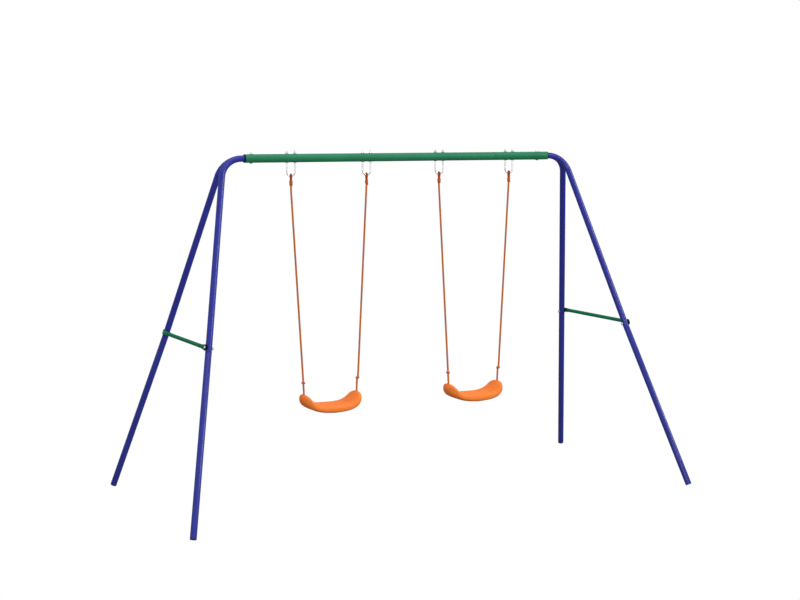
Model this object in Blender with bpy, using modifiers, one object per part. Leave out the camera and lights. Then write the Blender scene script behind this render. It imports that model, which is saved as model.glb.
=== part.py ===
"""Two-seat garden swing set.

A tubular steel frame: two A-frames of bent leg tubes carry a horizontal
crossbar, and two moulded seats hang from it on knotted ropes that loop
through U-bolts.  Metres, +Z up.  X runs along the crossbar, Y is the depth
(front legs at -Y), the origin is on the ground under the middle of the frame.
"""
import math

import bmesh
import bpy
from mathutils import Matrix, Vector

# --------------------------------------------------------------------------
# Driving dimensions (metres)
# --------------------------------------------------------------------------
GAP = 0.0003               # play between neighbouring pieces

BAR_Z = 1.780              # height of the crossbar's axis
BAR_R = 0.022              # crossbar, outside radius
BAR_WALL = 0.0015
BAR_LEFT = -0.885          # the green tube ends here
BAR_RIGHT = 0.893
BAR_SEAM_X = 0.556         # where the short section plugs into the long one
BAR_SWAGE = 0.066          # length of the reduced end inside the long section
SEAM_GAP = 0.0012

LEG_R = 0.0165             # leg tubes, outside radius
LEG_WALL = 0.0012
LEG_TOP_X = 1.000          # where the leg's line meets the crossbar's axis
BEND_R = 0.120             # centre-line radius of the bend under the stub
UPPER_SX = 0.2245          # spread of the upper legs per metre of height
UPPER_SY = 0.3671
STUB_IN_X = 0.800          # inner end of the half-round stubs in the crossbar
LEG_SEAM_Z = 0.842         # upper and lower tubes meet here, with a small kink
LEG_SWAGE = 0.072          # reduced end of the lower tube, inside the upper one
FOOT_X = 1.4105            # centre of each foot on the ground
FOOT_Y = 0.6719
FOOT_FLANGE = 0.0025

BOLT_R = 0.004
HOLE_R = 0.0044
BRACE_Z = 0.8655           # height of the brace bolts
BRACE_R = 0.010
BRACE_WALL = 0.0012
# the brace towards its ends; first number: distance beyond the bolt's axis
BRACE_HALF_H = [(-0.052, 0.0100), (-0.040, 0.0108), (-0.030, 0.0121),
                (-0.022, 0.0131), (-0.017, 0.0134), (-0.012, 0.0132),
                (-0.007, 0.0124), (-0.003, 0.0116), (0.0, 0.0110),
                (0.004, 0.0099), (0.007, 0.0080), (0.0090, 0.0050),
                (0.0098, 0.0024)]
BRACE_HALF_T = [(-0.052, 0.0100), (-0.040, 0.0078), (-0.030, 0.0046),
                (-0.022, 0.0021), (-0.016, 0.0014), (0.0098, 0.0014)]
BRACE_OUT = [(-0.052, 0.0212), (-0.040, 0.0209), (-0.022, 0.0199),
             (-0.016, 0.0197), (0.0098, 0.0197)]   # outwards from the leg's axis
TAB_FACE = 0.0211          # outer face of the flattened ends
SADDLE_FACE = 0.0180       # black saddles under all four ends
SADDLE_R = 0.0150
CAP_BACK = 0.0214          # black discs outside the front ends
CAP_FACE = 0.0230
CAP_R = 0.0164
FRONT_HEAD = (0.0092, 0.0026)   # round bolt heads on the braces: radius, height
REAR_HEAD = (0.0065, 0.0016)

END_BOLT_X = (-0.8505, 0.8333)           # vertical bolts through the crossbar
HANGER_X = (-0.632, -0.203, 0.226, 0.655)  # middles of the four U-bolts
UBOLT_HALF = 0.0225        # half of the distance between a U-bolt's legs
WIRE_R = 0.004
WIRE_LOW_Z = 1.6875        # middle of the wire at the bottom of the U
WIRE_TOP_Z = BAR_Z + 0.040
PAD_R = 0.0095             # flat pad round each hole in the crossbar
PAD_TOP = 0.0232           # its face, above the crossbar's axis

ROPE_R = 0.005
SWING_X = (-0.4155, 0.4385)              # middles of the two seats
SEAT_HALF_LEN = 0.1676
SEAT_HALF_WIDTH = 0.0885
ROPE_HALF_AT_SEAT = 0.1517
BIG_KNOT_Z = 1.652         # the knots that close the eyes
KNOT_Z = (0.603, 0.6095, 0.603, 0.611)   # small knots above the seats
HORN_TOP_Z = 0.541
SEAT_PIVOT_Z = HORN_TOP_Z - 0.004
ROPE_END_Z = HORN_TOP_Z - 0.008
# the ropes' way down, for the left and the right rope of a swing: plumb to the
# first height, straight on to the small knot, which shifts the rope sideways,
# and from there into the seat; sideways distances are from the hole in the seat
ROPE_PLUMB_TO = {-1: 1.615, 1: 1.640}
ROPE_WAY = {-1: [(-0.0030, 0.610), (-0.0026, 0.596), (0.0, 0.550)],
            1: [(0.0082, 0.617), (0.0026, 0.603), (0.0, 0.550)]}

# --------------------------------------------------------------------------
# Scene set-up
# --------------------------------------------------------------------------
for old in list(bpy.data.objects):
    bpy.data.objects.remove(old, do_unlink=True)

parts = bpy.data.collections.new("metal_swing_set")
cutters = bpy.data.collections.new("cutters")
bpy.context.scene.collection.children.link(parts)
bpy.context.scene.collection.children.link(cutters)


def material(name, rgb, roughness, metallic):
    mat = bpy.data.materials.new(name)
    mat.use_nodes = True
    bsdf = mat.node_tree.nodes["Principled BSDF"]
    bsdf.inputs["Base Color"].default_value = (*rgb, 1.0)
    bsdf.inputs["Roughness"].default_value = roughness
    bsdf.inputs["Metallic"].default_value = metallic
    mat.diffuse_color = (*rgb, 1.0)
    return mat


BLUE = material("blue_powder_coat", (0.045, 0.047, 0.30), 0.35, 0.2)
GREEN = material("green_powder_coat", (0.040, 0.20, 0.115), 0.38, 0.2)
ORANGE = material("orange_plastic", (0.87, 0.19, 0.030), 0.42, 0.0)
ROPE = material("orange_rope", (0.55, 0.11, 0.025), 0.85, 0.0)
BLACK = material("black_plastic", (0.012, 0.012, 0.014), 0.5, 0.0)
NAVY = material("navy_plastic", (0.016, 0.017, 0.075), 0.5, 0.0)
ZINC = material("zinc_plated_steel", (0.72, 0.73, 0.75), 0.3, 1.0)


def link(obj, collection, mat=None):
    collection.objects.link(obj)
    if mat is not None:
        obj.data.materials.clear()
        obj.data.materials.append(mat)
    return obj


def hide_cutter(obj):
    obj.hide_render = True
    obj.display_type = "WIRE"
    return obj


def frame_matrix(origin, z_axis, x_hint):
    """A matrix whose Z lies along z_axis and whose X leans towards x_hint."""
    z = Vector(z_axis).normalized()
    x = Vector(x_hint) - z * Vector(x_hint).dot(z)
    x.normalize()
    y = z.cross(x)
    rot = Matrix((x, y, z)).transposed().to_4x4()
    return Matrix.Translation(Vector(origin)) @ rot


def smooth(obj, angle=35.0):
    obj.data.shade_smooth()
    obj.data.set_sharp_from_angle(angle=math.radians(angle))


# --------------------------------------------------------------------------
# Shape makers
# --------------------------------------------------------------------------
def swept_mesh(name, points, radii, sides, caps=True, cyclic=False):
    """The mesh of a round bar or an open tube that follows the points."""
    curve = bpy.data.curves.new(name + "_path", "CURVE")
    curve.dimensions = "3D"
    curve.bevel_depth = 1.0
    curve.bevel_resolution = sides // 2 - 2
    curve.use_fill_caps = caps
    curve.twist_mode = "MINIMUM"
    spline = curve.splines.new("POLY")
    spline.points.add(len(points) - 1)
    for p, co, r in zip(spline.points, points, radii):
        p.co = (*co, 1.0)
        p.radius = r
    spline.use_cyclic_u = cyclic
    obj = bpy.data.objects.new(name + "_path", curve)
    bpy.context.scene.collection.objects.link(obj)
    bpy.context.view_layer.update()
    deps = bpy.context.evaluated_depsgraph_get()
    mesh = bpy.data.meshes.new_from_object(obj.evaluated_get(deps))
    bpy.data.objects.remove(obj, do_unlink=True)
    bm = bmesh.new()
    bm.from_mesh(mesh)
    bmesh.ops.remove_doubles(bm, verts=bm.verts, dist=0.00002)
    bmesh.ops.recalc_face_normals(bm, faces=bm.faces)
    bm.to_mesh(mesh)
    bm.free()
    mesh.name = name
    return mesh


def hollow_tube(name, points, radii, sides, wall, mat, collection=None):
    """A tube with open ends: the swept outer skin, thickened inwards."""
    mesh = swept_mesh(name, points, radii, sides, caps=False)
    # the skin's faces must look outwards
    face = mesh.polygons[0]
    axis = (Vector(points[1]) - Vector(points[0])).normalized()
    rel = face.center - Vector(points[0])
    rel -= axis * rel.dot(axis)
    if face.normal.dot(rel) < 0:
        mesh.flip_normals()
    obj = link(bpy.data.objects.new(name, mesh), collection or parts, mat)
    smooth(obj)
    solid = obj.modifiers.new("wall", "SOLIDIFY")
    solid.thickness = wall
    solid.offset = -1.0
    solid.use_even_offset = False
    return obj


def rod(name, points, radius, sides, mat, collection=None):
    mesh = swept_mesh(name, points, [radius] * len(points), sides)
    obj = link(bpy.data.objects.new(name, mesh), collection or parts, mat)
    smooth(obj)
    return obj


def turned(name, profile, steps, matrix, mat, collection=None, closed=False):
    """A turned piece: (radius, height) points run down the outer side."""
    mesh = bpy.data.meshes.new(name)
    verts = [(r, 0.0, z) for r, z in profile]
    edges = [(i, i + 1) for i in range(len(verts) - 1)]
    if closed:
        edges.append((len(verts) - 1, 0))
    mesh.from_pydata(verts, edges, [])
    obj = link(bpy.data.objects.new(name, mesh), collection or parts, mat)
    obj.matrix_world = matrix
    screw = obj.modifiers.new("turn", "SCREW")
    screw.axis = "Z"
    screw.angle = 2 * math.pi
    screw.steps = steps
    screw.render_steps = steps
    screw.use_merge_vertices = True
    screw.merge_threshold = 0.00001
    screw.use_smooth_shade = True
    return obj


def cylinder_into(bm, radius, z0, z1, matrix, sides=16):
    """Add a capped cylinder between two heights of the matrix's Z axis."""
    mid = matrix @ Matrix.Translation((0, 0, (z0 + z1) / 2))
    bmesh.ops.create_cone(bm, cap_ends=True, segments=sides, radius1=radius,
                          radius2=radius, depth=abs(z1 - z0), matrix=mid)


def object_from_bm(name, bm, mat, collection):
    mesh = bpy.data.meshes.new(name)
    bmesh.ops.recalc_face_normals(bm, faces=bm.faces)
    bm.to_mesh(mesh)
    bm.free()
    return link(bpy.data.objects.new(name, mesh), collection, mat)


def boolean(obj, cutter, operation="DIFFERENCE"):
    mod = obj.modifiers.new(operation.lower(), "BOOLEAN")
    mod.operation = operation
    mod.object = cutter
    mod.solver = "EXACT"
    return mod


def apply_modifiers(obj):
    """Freeze the modifiers, so that copies can share the mesh."""
    bpy.context.view_layer.update()
    deps = bpy.context.evaluated_depsgraph_get()
    mesh = bpy.data.meshes.new_from_object(obj.evaluated_get(deps))
    obj.modifiers.clear()
    obj.data = mesh
    return mesh


def loft(name, rings, mat, collection):
    """Skin equal-length rings one after another and close both ends."""
    bm = bmesh.new()
    rows = [[bm.verts.new(p) for p in ring] for ring in rings]
    n = len(rows[0])
    for a, b in zip(rows[:-1], rows[1:]):
        for i in range(n):
            bm.faces.new((a[i], a[(i + 1) % n], b[(i + 1) % n], b[i]))
    for row in (rows[0], rows[-1]):
        centre = bm.verts.new(sum((v.co for v in row), Vector()) / n)
        for i in range(n):
            bm.faces.new((row[i], row[(i + 1) % n], centre))
    obj = object_from_bm(name, bm, mat, collection)
    smooth(obj)
    return obj


def interp(table, x):
    """Smooth (monotone cubic) interpolation in a table of (x, y) pairs."""
    if x <= table[0][0]:
        return table[0][1]
    if x >= table[-1][0]:
        return table[-1][1]
    xs = [p[0] for p in table]
    ys = [p[1] for p in table]
    slopes = [(ys[i + 1] - ys[i]) / (xs[i + 1] - xs[i])
              for i in range(len(xs) - 1)]
    tang = [slopes[0]]
    for a, b in zip(slopes[:-1], slopes[1:]):
        tang.append(0.0 if a * b <= 0 else 2 * a * b / (a + b))
    tang.append(slopes[-1])
    i = max(k for k in range(len(xs) - 1) if xs[k] <= x)
    h = xs[i + 1] - xs[i]
    t = (x - xs[i]) / h
    return ((2 * t**3 - 3 * t**2 + 1) * ys[i]
            + (t**3 - 2 * t**2 + t) * h * tang[i]
            + (-2 * t**3 + 3 * t**2) * ys[i + 1]
            + (t**3 - t**2) * h * tang[i + 1])


# --------------------------------------------------------------------------
# Leg geometry
# --------------------------------------------------------------------------
LEG_SIDES = 16
LEGS = {                      # name: (side along X, side along Y)
    "left_front": (-1, -1),
    "left_rear": (-1, 1),
    "right_front": (1, -1),
    "right_rear": (1, 1),
}


def upper_dir(sx, sy):
    return Vector((sx * UPPER_SX, sy * UPPER_SY, -1.0)).normalized()


def upper_at(sx, sy, z):
    drop = BAR_Z - z
    return Vector((sx * (LEG_TOP_X + UPPER_SX * drop), sy * UPPER_SY * drop, z))


def outward(sx):
    """Normal of the leaning A-frame, pointing away from the seats."""
    return Vector((sx, 0.0, UPPER_SX)).normalized()


def foot_end(sx, sy):
    """Centre of the foot's end face; its lowest edge touches the ground."""
    knee = upper_at(sx, sy, LEG_SEAM_Z)
    d = (Vector((sx * FOOT_X, sy * FOOT_Y, 0.0)) - knee).normalized()
    lift = (LEG_R - 0.0002) * math.sqrt(1 - d.z ** 2)
    return Vector((sx * FOOT_X, sy * FOOT_Y, lift))


def bend_path(sx, sy):
    d0 = Vector((sx, 0.0, 0.0))
    d1 = upper_dir(sx, sy)
    corner = Vector((sx * LEG_TOP_X, 0.0, BAR_Z))
    angle = math.acos(d0.dot(d1))
    tangent = BEND_R * math.tan(angle / 2)
    start = corner - d0 * tangent
    inward = (d1 - d0 * d1.dot(d0)).normalized()
    centre = start + inward * BEND_R
    pts = [Vector((sx * STUB_IN_X, 0.0, BAR_Z))]
    steps = 9
    for i in range(steps + 1):
        a = angle * i / steps
        pts.append(centre - inward * BEND_R * math.cos(a)
                   + d0 * BEND_R * math.sin(a))
    knee = upper_at(sx, sy, LEG_SEAM_Z)
    pts.append(knee - d1 * 0.0010)
    return pts


# --------------------------------------------------------------------------
# Cutters that several pieces share
# --------------------------------------------------------------------------
up = Matrix.Identity(4)
bm = bmesh.new()
drill_xs = [x + s * UBOLT_HALF for x in HANGER_X for s in (-1, 1)]
drill_xs += list(END_BOLT_X)
for x in drill_xs:
    cylinder_into(bm, HOLE_R, -0.036, 0.036,
                  Matrix.Translation((x, 0, BAR_Z)), 12)
bar_drills = hide_cutter(object_from_bm("bar_drills", bm, None, cutters))


def pads(name, xs, radius, low, high):
    bm = bmesh.new()
    for x in xs:
        for s in (1, -1):
            m = Matrix.Translation((x, 0, BAR_Z))
            cylinder_into(bm, radius, s * low, s * high, m, 16)
    return hide_cutter(object_from_bm(name, bm, None, cutters))


SEAM = BAR_SEAM_X
long_xs = [x for x in drill_xs if x < SEAM]
short_xs = [x for x in drill_xs if x > SEAM]
pads_long = pads("pads_long", long_xs, PAD_R, 0.0120, PAD_TOP)
pads_short = pads("pads_short", short_xs, PAD_R, 0.0120, PAD_TOP)

bm = bmesh.new()
bmesh.ops.create_cube(bm, size=1.0, matrix=Matrix.Translation((0, 1.0 - GAP / 2, 1.2))
                      @ Matrix.Diagonal((4.0, 2.0, 2.0, 1.0)))
keep_front = hide_cutter(object_from_bm("rear_half_space", bm, None, cutters))
bm = bmesh.new()
bmesh.ops.create_cube(bm, size=1.0, matrix=Matrix.Translation((0, -1.0 + GAP / 2, 1.2))
                      @ Matrix.Diagonal((4.0, 2.0, 2.0, 1.0)))
keep_rear = hide_cutter(object_from_bm("front_half_space", bm, None, cutters))

bm = bmesh.new()
for sx, sy in LEGS.values():
    m = frame_matrix(upper_at(sx, sy, BRACE_Z), outward(sx), (0, 1, 0))
    cylinder_into(bm, HOLE_R, -0.040, 0.040, m, 12)
brace_drills = hide_cutter(object_from_bm("brace_drills", bm, None, cutters))

# --------------------------------------------------------------------------
# Crossbar: a long section and a short one that plugs into it
# --------------------------------------------------------------------------
BAR_SIDES = 24
bore_r = BAR_R - BAR_WALL
swage_r = bore_r - 0.0006


def bar_section(name, points, radii, bore_points, bore_radii, bar_pads):
    """Outer skin with pads round the holes, then the bore and the holes."""
    bar = link(bpy.data.objects.new(
        name, swept_mesh(name, points, radii, BAR_SIDES)), parts, GREEN)
    smooth(bar)
    bore = hide_cutter(link(bpy.data.objects.new(
        name + "_bore", swept_mesh(name + "_bore", bore_points, bore_radii,
                                   BAR_SIDES)), cutters))
    boolean(bar, bar_pads, "UNION")
    boolean(bar, bore)
    boolean(bar, bar_drills)
    return bar


bar_section("crossbar_long_section",
            [(BAR_LEFT, 0, BAR_Z), (SEAM, 0, BAR_Z)], [BAR_R] * 2,
            [(BAR_LEFT - 0.01, 0, BAR_Z), (SEAM + 0.01, 0, BAR_Z)],
            [bore_r] * 2, pads_long)
neck_r = swage_r - BAR_WALL
bar_section("crossbar_short_section",
            [(SEAM - BAR_SWAGE, 0, BAR_Z), (SEAM + GAP, 0, BAR_Z),
             (SEAM + SEAM_GAP, 0, BAR_Z), (BAR_RIGHT, 0, BAR_Z)],
            [swage_r, swage_r, BAR_R, BAR_R],
            [(SEAM - BAR_SWAGE - 0.01, 0, BAR_Z), (SEAM + 0.002, 0, BAR_Z),
             (SEAM + 0.006, 0, BAR_Z), (BAR_RIGHT + 0.01, 0, BAR_Z)],
            [neck_r, neck_r, bore_r, bore_r], pads_short)

# black bushings that centre the leg stubs in the ends of the crossbar
for side, sx, x_end in (("left", -1, BAR_LEFT), ("right", 1, BAR_RIGHT)):
    r_in = LEG_R + GAP + 0.0001
    r_out = BAR_R - BAR_WALL - 0.0005
    length = abs(x_end) - STUB_IN_X
    lip = 0.0055
    profile = [(r_in, lip), (BAR_R - 0.0018, lip), (BAR_R - 0.0006, lip - 0.0012),
               (BAR_R - 0.0002, GAP), (r_out, GAP), (r_out, -length),
               (r_in, -length)]
    m = frame_matrix((x_end, 0, BAR_Z), (sx, 0, 0), (0, 1, 0))
    bushing = turned(side + "_crossbar_bushing", profile, BAR_SIDES, m, BLACK,
                     closed=True)
    boolean(bushing, bar_drills)

# --------------------------------------------------------------------------
# Legs, foot plugs
# --------------------------------------------------------------------------
for name, (sx, sy) in LEGS.items():
    pts = bend_path(sx, sy)
    leg = hollow_tube(name + "_upper_leg", pts, [LEG_R] * len(pts), LEG_SIDES,
                      LEG_WALL, BLUE)
    boolean(leg, keep_front if sy < 0 else keep_rear)
    boolean(leg, bar_drills)
    boolean(leg, brace_drills)

    knee = upper_at(sx, sy, LEG_SEAM_Z)
    d_up = -upper_dir(sx, sy)
    end = foot_end(sx, sy)
    d_low = (end - knee).normalized()
    tube_end = end - d_low * (FOOT_FLANGE + GAP)
    swage = LEG_R - LEG_WALL - 0.0006
    lower = hollow_tube(
        name + "_lower_leg",
        [knee + d_up * LEG_SWAGE, knee + d_up * 0.0006, knee, tube_end],
        [swage, swage, LEG_R, LEG_R], LEG_SIDES, LEG_WALL, BLUE)
    boolean(lower, brace_drills)

    plug_r = LEG_R - LEG_WALL - 0.0006
    profile = [(0.0, 0.020), (plug_r - 0.001, 0.020), (plug_r, 0.019),
               (plug_r, 0.0), (LEG_R - 0.0002, 0.0),
               (LEG_R - 0.0002, -FOOT_FLANGE), (0.0, -FOOT_FLANGE)]
    downhill = Vector((0, 0, -1)) - d_low * Vector((0, 0, -1)).dot(d_low)
    m = frame_matrix(end - d_low * FOOT_FLANGE, -d_low, downhill)
    turned(name + "_foot_plug", profile, LEG_SIDES, m, NAVY)

# --------------------------------------------------------------------------
# Cross braces: round tubes with flattened, rounded ends
# --------------------------------------------------------------------------
BRACE_Y = upper_at(1, 1, BRACE_Z).y


def brace_ring(sx, y, inset, count=16):
    """One section of the brace: round in the middle, flat at the ends."""
    n_out = outward(sx)
    along_leg = Vector((-sx * UPPER_SX, 0.0, 1.0)).normalized()
    beyond = abs(y) - BRACE_Y
    half_t = interp(BRACE_HALF_T, beyond)
    half_h = interp(BRACE_HALF_H, beyond)
    flat = (BRACE_R - half_t) / (BRACE_R - 0.0014)
    base = Vector((sx * (LEG_TOP_X + UPPER_SX * (BAR_Z - BRACE_Z)), 0.0,
                   BRACE_Z)) + n_out * interp(BRACE_OUT, beyond)
    half_t -= min(inset, 0.62 * half_t)
    half_h -= min(inset, 0.5 * half_h)
    power = 2.0 / (2.0 + 2.0 * flat)
    ring = []
    for i in range(count):
        phi = 2 * math.pi * i / count
        c, s = math.cos(phi), math.sin(phi)
        u = half_t * math.copysign(abs(c) ** power, c)
        v = half_h * math.copysign(abs(s) ** power, s)
        ring.append(base + Vector((0, y, 0)) + n_out * u + along_leg * v)
    return ring


tip = BRACE_Y + 0.0098
half_stations = [0.0] + [BRACE_Y + d for d in
                         (-0.052, -0.045, -0.038, -0.031, -0.024, -0.0165,
                          -0.012, -0.006, 0.0, 0.0045, 0.0078, 0.0098)]
stations = [-y for y in reversed(half_stations[1:])] + half_stations
for side, sx in (("left", -1), ("right", 1)):
    brace = loft(side + "_cross_brace", [brace_ring(sx, y, 0.0) for y in stations],
                 GREEN, parts)
    inner_stations = ([-(tip + 0.004)] + stations + [tip + 0.004])
    inner = []
    for y in inner_stations:
        clamp = max(-tip, min(tip, y))
        ring = brace_ring(sx, clamp, BRACE_WALL)
        ring = [p + Vector((0, y - clamp, 0)) for p in ring]
        inner.append(ring)
    core = hide_cutter(loft(side + "_brace_core", inner, None, cutters))
    boolean(brace, core)
    boolean(brace, brace_drills)

# --------------------------------------------------------------------------
# Hardware
# --------------------------------------------------------------------------
NUT_AF = 0.013
NUT_H = 0.0065


def nut_mesh():
    bm = bmesh.new()
    bmesh.ops.create_cone(bm, cap_ends=True, segments=6,
                          radius1=NUT_AF / math.sqrt(3),
                          radius2=NUT_AF / math.sqrt(3), depth=NUT_H,
                          matrix=Matrix.Translation((0, 0, NUT_H / 2)))
    blank = object_from_bm("nut_blank", bm, ZINC, cutters)
    bm = bmesh.new()
    cylinder_into(bm, HOLE_R, -0.01, NUT_H + 0.01, Matrix.Identity(4), 12)
    hole = hide_cutter(object_from_bm("nut_hole", bm, None, cutters))
    boolean(blank, hole)
    mesh = apply_modifiers(blank)
    mesh.name = "hex_nut"
    bpy.data.objects.remove(blank, do_unlink=True)
    return mesh


NUT = nut_mesh()


def place_nut(name, matrix):
    obj = bpy.data.objects.new(name, NUT)
    parts.objects.link(obj)
    obj.matrix_world = matrix
    return obj


for side, x in zip(("left", "right"), END_BOLT_X):
    head = 0.0075
    profile = [(0.0, 0.0345 + PAD_TOP + 0.0112), (BOLT_R - 0.0006, 0.0345 + PAD_TOP + 0.0112),
               (BOLT_R, 0.0345 + PAD_TOP + 0.0106), (BOLT_R, -GAP), (head, -GAP),
               (head - 0.0008, -GAP - 0.0016), (head - 0.003, -GAP - 0.0030),
               (0.0, -GAP - 0.0034)]
    base = -PAD_TOP
    profile = [(r, z if z < 0 else z - 0.0345 + PAD_TOP) for r, z in profile]
    turned(side + "_crossbar_bolt", profile, 12,
           Matrix.Translation((x, 0, BAR_Z + base)), ZINC)
    place_nut(side + "_crossbar_nut",
              Matrix.Translation((x, 0, BAR_Z + PAD_TOP + GAP)))

SWINGS = {"left": (HANGER_X[0], HANGER_X[1]), "right": (HANGER_X[2], HANGER_X[3])}

for swing, pair in SWINGS.items():
    for which, x in zip(("outer", "inner") if swing == "left" else
                        ("inner", "outer"), pair):
        bend_z = WIRE_LOW_Z + UBOLT_HALF
        pts = [(x - UBOLT_HALF, 0, WIRE_TOP_Z), (x - UBOLT_HALF, 0, bend_z)]
        for i in range(1, 10):
            a = math.pi * i / 10
            pts.append((x - UBOLT_HALF * math.cos(a), 0,
                        bend_z - UBOLT_HALF * math.sin(a)))
        pts += [(x + UBOLT_HALF, 0, bend_z), (x + UBOLT_HALF, 0, WIRE_TOP_Z)]
        rod("{}_{}_u_bolt".format(swing, which), pts, WIRE_R, 10, ZINC)
        for leg, s in (("a", -1), ("b", 1)):
            place_nut("{}_{}_u_bolt_nut_{}".format(swing, which, leg),
                      Matrix.Translation((x + s * UBOLT_HALF, 0,
                                          BAR_Z + PAD_TOP + GAP)))

for name, (sx, sy) in LEGS.items():
    n_out = outward(sx)
    m = frame_matrix(upper_at(sx, sy, BRACE_Z), n_out, (0, 1, 0))

    # black saddle that seats the flat brace end on the round leg
    bm = bmesh.new()
    cylinder_into(bm, SADDLE_R, 0.004, SADDLE_FACE, m, 20)
    saddle = object_from_bm(name + "_brace_saddle", bm, BLACK, parts)
    bm = bmesh.new()
    cylinder_into(bm, LEG_R + 0.0005, -0.05, 0.05,
                  frame_matrix(upper_at(sx, sy, BRACE_Z), upper_dir(sx, sy),
                               n_out), 24)
    hollow = hide_cutter(object_from_bm(name + "_saddle_hollow", bm, None, cutters))
    boolean(saddle, hollow)
    boolean(saddle, brace_drills)
    smooth(saddle)

    face, (head_r, head_h) = TAB_FACE + GAP, REAR_HEAD
    if sy < 0:
        # black disc on the outside of the flat brace end
        bm = bmesh.new()
        cylinder_into(bm, CAP_R, CAP_BACK, CAP_FACE, m, 28)
        cap = object_from_bm(name + "_brace_cap", bm, BLACK, parts)
        boolean(cap, brace_drills)
        smooth(cap)
        face, (head_r, head_h) = CAP_FACE + GAP, FRONT_HEAD

    # low round-headed bolt from outside, nut inside
    turned(name + "_brace_bolt",
           [(0.0, face + head_h), (0.45 * head_r, face + 0.91 * head_h),
            (0.79 * head_r, face + 0.63 * head_h),
            (0.97 * head_r, face + 0.28 * head_h), (head_r, face),
            (BOLT_R, face), (BOLT_R, -0.0252),
            (BOLT_R - 0.0006, -0.0258), (0.0, -0.0258)], 12, m, ZINC)
    place_nut(name + "_brace_nut",
              m @ Matrix.Rotation(math.pi, 4, "X")
              @ Matrix.Translation((0, 0, LEG_R + 0.0005)))


# --------------------------------------------------------------------------
# Swings: seats and ropes, each on an empty at its pivot
# --------------------------------------------------------------------------
# heights and half-width along the seat; first number: fraction of its half
# length, from the middle to the end
TOP_Z = [(0.0, 0.4886), (0.25, 0.4882), (0.40, 0.4897), (0.52, 0.4929),
         (0.64, 0.4992), (0.74, 0.5106), (0.83, 0.5280), (0.90, 0.5335),
         (0.95, 0.5312), (0.985, 0.5250), (1.0, 0.5150)]
LOW_Z = [(0.0, 0.4395), (0.30, 0.4430), (0.52, 0.4496), (0.70, 0.4604),
         (0.83, 0.4718), (0.92, 0.4865), (0.985, 0.5030), (1.0, 0.5150)]
WIDTH = [(0.0, 1.0), (0.55, 1.0), (0.72, 0.995), (0.84, 0.825),
         (0.92, 0.660), (0.97, 0.430), (1.0, 0.220)]
DISH = [(0.0, -0.0085), (0.50, -0.0030), (0.75, 0.0080), (0.95, 0.0070),
        (1.0, 0.0)]


def seat_ring(x0, u, count=18):
    a = abs(u) / SEAT_HALF_LEN
    top, low = interp(TOP_Z, a), interp(LOW_Z, a)
    width = interp(WIDTH, a) * SEAT_HALF_WIDTH
    dish = interp(DISH, a)
    mid, half = (top + low) / 2, max((top - low) / 2, 0.0012)
    power = 2.0 / 3.4
    ring = []
    for i in range(count):
        phi = 2 * math.pi * (i + 0.5) / count
        c, s = math.cos(phi), math.sin(phi)
        v = width * math.copysign(abs(c) ** power, c)
        z = mid + half * math.copysign(abs(s) ** power, s)
        if s > 0:
            z += dish * (1 - (v / width) ** 2)
        ring.append(Vector((x0 + u, v, z)))
    return ring


seat_us = [f * SEAT_HALF_LEN for f in
           (0.0, 0.20, 0.38, 0.50, 0.60, 0.68, 0.74, 0.79, 0.84, 0.89, 0.93,
            0.962, 0.985, 0.998)]
seat_us = [-u for u in reversed(seat_us[1:])] + seat_us


def place_on(obj, pivot):
    """Parent to an empty and keep the world position."""
    bpy.context.view_layer.update()
    obj.parent = pivot
    obj.matrix_parent_inverse = pivot.matrix_world.inverted()


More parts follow.
